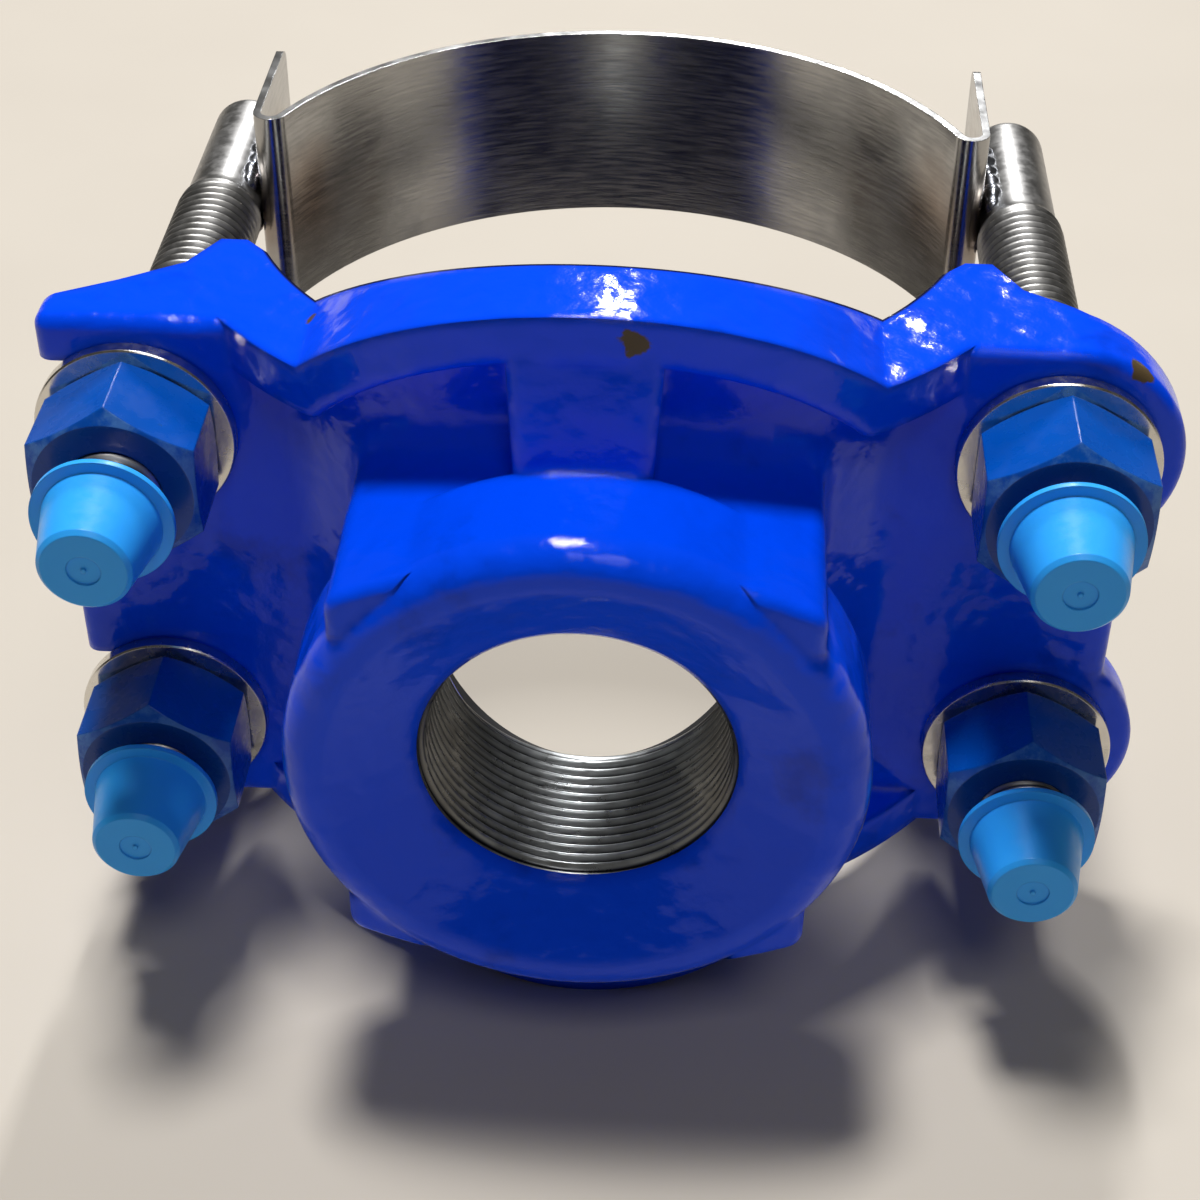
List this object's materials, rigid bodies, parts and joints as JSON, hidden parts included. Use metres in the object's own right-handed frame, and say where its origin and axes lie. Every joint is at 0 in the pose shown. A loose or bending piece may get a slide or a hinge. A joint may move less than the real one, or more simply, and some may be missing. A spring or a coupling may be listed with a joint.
{
  "type": "tapping saddle",
  "caption": "Cast saddle with a threaded outlet boss, clamped to a pipe by two stainless straps with welded studs, nuts, washers and thread caps.",
  "frame": {"origin": "centre of the outlet at the start of its thread wall", "axes": "+X towards the ears with closed holes, +Y away from the outlet face towards the straps, +Z along the pipe, up as the part stands in the picture"},
  "size_m": [0.2095, 0.1866, 0.158],
  "materials": {
    "casting_paint": "gloss",
    "rubber": "matte",
    "strap_steel": "polished, heat tinted by the welds",
    "stud_steel": "rolled thread, dark",
    "weld_steel": "rough weld bead",
    "washer_steel": "satin",
    "nut_coating": "satin coating",
    "cap_plastic": "satin moulded"
  },
  "bodies": {
    "saddle": {"saddle_casting": "casting_paint", "gasket": "rubber", "washer_ul": "washer_steel", "washer_ur": "washer_steel", "washer_ll": "washer_steel", "washer_lr": "washer_steel"},
    "strap_upper_set": {"strap_upper": "strap_steel", "stud_ul": "stud_steel", "stud_ur": "stud_steel", "weld_ul": "weld_steel", "weld_ur": "weld_steel"},
    "nut_ul_body": {"nut_ul": "nut_coating"},
    "cap_ul_body": {"cap_ul": "cap_plastic"},
    "nut_ur_body": {"nut_ur": "nut_coating"},
    "cap_ur_body": {"cap_ur": "cap_plastic"},
    "strap_lower_set": {"strap_lower": "strap_steel", "stud_ll": "stud_steel", "stud_lr": "stud_steel", "weld_ll": "weld_steel", "weld_lr": "weld_steel"},
    "nut_ll_body": {"nut_ll": "nut_coating"},
    "cap_ll_body": {"cap_ll": "cap_plastic"},
    "nut_lr_body": {"nut_lr": "nut_coating"},
    "cap_lr_body": {"cap_lr": "cap_plastic"}
  },
  "joints": [
    {"name": "strap_upper_slide", "type": "slide", "parent": "saddle", "child": "strap_upper_set", "axis": [0, 1, 0], "range_m": [-0.01, 0.002]},
    {"name": "nut_ul_turn", "type": "hinge", "parent": "saddle", "child": "nut_ul_body", "pos_m": [-0.084, 0.036, 0.034], "axis": [0, 1, 0], "range_deg": [-288, 1440]},
    {"name": "cap_ul_pull", "type": "slide", "parent": "strap_upper_set", "child": "cap_ul_body", "axis": [0, -1, 0], "range_m": [0, 0.03]},
    {"name": "nut_ur_turn", "type": "hinge", "parent": "saddle", "child": "nut_ur_body", "pos_m": [0.084, 0.036, 0.034], "axis": [0, 1, 0], "range_deg": [-288, 1440]},
    {"name": "cap_ur_pull", "type": "slide", "parent": "strap_upper_set", "child": "cap_ur_body", "axis": [0, -1, 0], "range_m": [0, 0.03]},
    {"name": "strap_lower_slide", "type": "slide", "parent": "saddle", "child": "strap_lower_set", "axis": [0, 1, 0], "range_m": [-0.01, 0.002]},
    {"name": "nut_ll_turn", "type": "hinge", "parent": "saddle", "child": "nut_ll_body", "pos_m": [-0.084, 0.036, -0.034], "axis": [0, 1, 0], "range_deg": [-288, 1440]},
    {"name": "cap_ll_pull", "type": "slide", "parent": "strap_lower_set", "child": "cap_ll_body", "axis": [0, -1, 0], "range_m": [0, 0.03]},
    {"name": "nut_lr_turn", "type": "hinge", "parent": "saddle", "child": "nut_lr_body", "pos_m": [0.084, 0.036, -0.034], "axis": [0, 1, 0], "range_deg": [-288, 1440]},
    {"name": "cap_lr_pull", "type": "slide", "parent": "strap_lower_set", "child": "cap_lr_body", "axis": [0, -1, 0], "range_m": [0, 0.03]}
  ],
  "couplings": [
    {"joint": "nut_ul_turn", "follows": "strap_upper_slide", "rad_per_m": -2513.3},
    {"joint": "nut_ur_turn", "follows": "strap_upper_slide", "rad_per_m": -2513.3},
    {"joint": "nut_ll_turn", "follows": "strap_lower_slide", "rad_per_m": -2513.3},
    {"joint": "nut_lr_turn", "follows": "strap_lower_slide", "rad_per_m": -2513.3}
  ]
}
